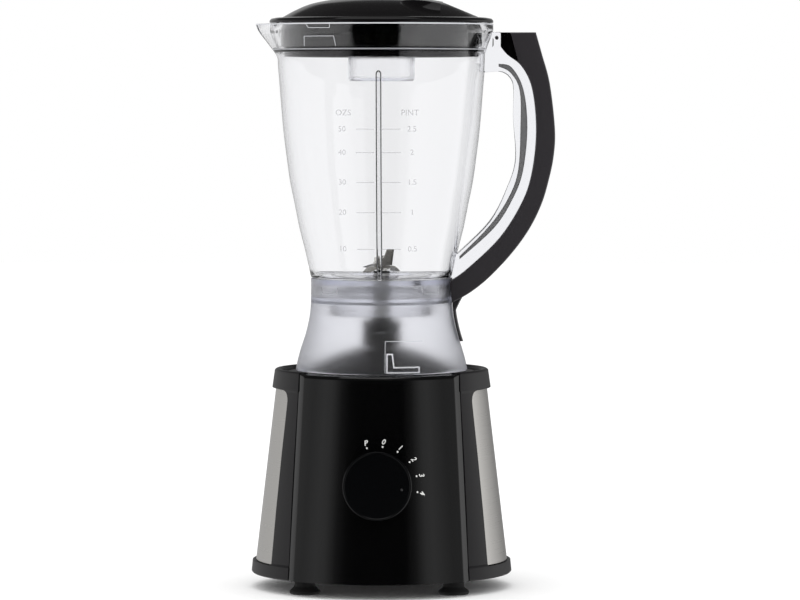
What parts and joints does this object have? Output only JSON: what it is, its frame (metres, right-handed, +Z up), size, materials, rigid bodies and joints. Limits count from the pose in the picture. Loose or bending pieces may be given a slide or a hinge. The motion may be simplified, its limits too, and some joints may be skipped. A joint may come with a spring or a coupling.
{
  "type": "countertop blender",
  "caption": "Countertop blender: round base with a speed knob, clear jar with spout and handle, blade unit, black lid and measuring cup.",
  "frame": {"origin": "on the table under the middle of the whole outline, handle and knob included", "axes": "+Z up, -Y out of the front panel, +X towards the handle"},
  "size_m": [0.2233, 0.2153, 0.4315],
  "materials": {
    "shell_black": "satin",
    "panel_black": "gloss",
    "steel": "brushed",
    "rubber": "matte",
    "clear": "clear",
    "frost": "frosted",
    "copper": "satin",
    "iron": "satin",
    "brass": "satin",
    "screw_steel": "bright",
    "carbon": "matte",
    "pcb": "satin",
    "light_plastic": "satin",
    "lid_black": "gloss"
  },
  "bodies": {
    "base": {"base_shell": "shell_black", "front_panel": "panel_black", "steel_panel_left": "steel", "steel_panel_right": "steel", "top_deck": "shell_black", "bottom_cover": "shell_black", "foot_1": "rubber", "foot_2": "rubber", "foot_3": "rubber", "foot_4": "rubber", "cover_screw_1": "screw_steel", "cover_screw_2": "screw_steel", "cover_screw_3": "screw_steel", "cover_screw_4": "screw_steel", "cord_inlet": "rubber", "speed_switch": "light_plastic", "motor_stator": "iron", "field_coil_front": "copper", "field_coil_rear": "copper", "motor_bracket_upper": "iron", "motor_bracket_lower": "iron", "bearing_upper": "screw_steel", "bearing_lower": "screw_steel", "brush_holder_front": "brass", "brush_holder_rear": "brass", "carbon_brush_front": "carbon", "carbon_brush_rear": "carbon", "brush_spring_front": "screw_steel", "brush_spring_rear": "screw_steel", "motor_mount_1": "rubber", "motor_mount_2": "rubber", "motor_mount_3": "rubber", "motor_mount_4": "rubber", "shaft_seal": "rubber", "control_board": "pcb", "interlock_switch": "carbon"},
    "knob": {"speed_knob": "panel_black"},
    "rotor": {"motor_shaft": "screw_steel", "armature": "copper", "commutator": "copper", "cooling_fan": "carbon", "drive_coupling": "rubber"},
    "interlock": {"interlock_pin": "light_plastic"},
    "jug": {"jar": "clear", "jar_skirt": "frost", "handle_cover": "shell_black", "handle_pin": "carbon", "blade_holder": "light_plastic", "holder_gasket": "light_plastic", "holder_ring": "frost", "spindle_bush": "brass", "spindle_seal": "rubber"},
    "blades": {"blade_spindle": "screw_steel", "blade_lower": "screw_steel", "blade_upper": "screw_steel", "blade_nut": "screw_steel", "jar_coupling": "rubber"},
    "cover": {"lid": "lid_black", "lid_seal": "light_plastic"},
    "cup": {"measuring_cup": "clear"}
  },
  "joints": [
    {"name": "knob_turn", "type": "hinge", "parent": "base", "child": "knob", "pos_m": [-0.0159, -0.08803, 0.081], "axis": [0, -0.9932, 0.1164], "range_deg": [0, 114]},
    {"name": "motor_spin", "type": "hinge", "parent": "base", "child": "rotor", "pos_m": [-0.0159, 0.00195, 0.1], "axis": [0, 0, 1], "continuous": true},
    {"name": "jar_lift", "type": "slide", "parent": "base", "child": "jug", "axis": [0, 0, 1], "range_m": [0, 0.16]},
    {"name": "blade_spin", "type": "hinge", "parent": "jug", "child": "blades", "pos_m": [-0.0159, 0.00195, 0.22], "axis": [0, 0, 1], "continuous": true},
    {"name": "lid_lift", "type": "slide", "parent": "jug", "child": "cover", "axis": [0, 0, 1], "range_m": [0, 0.12]},
    {"name": "cup_lift", "type": "slide", "parent": "cover", "child": "cup", "axis": [0, 0, 1], "range_m": [0, 0.08]},
    {"name": "interlock_press", "type": "slide", "parent": "base", "child": "interlock", "axis": [0, 0, 1], "range_m": [0, 0.004]}
  ],
  "couplings": [
    {"joint": "blade_spin", "follows": "motor_spin", "ratio": 1},
    {"joint": "interlock_press", "follows": "jar_lift", "ratio": 0.02}
  ]
}
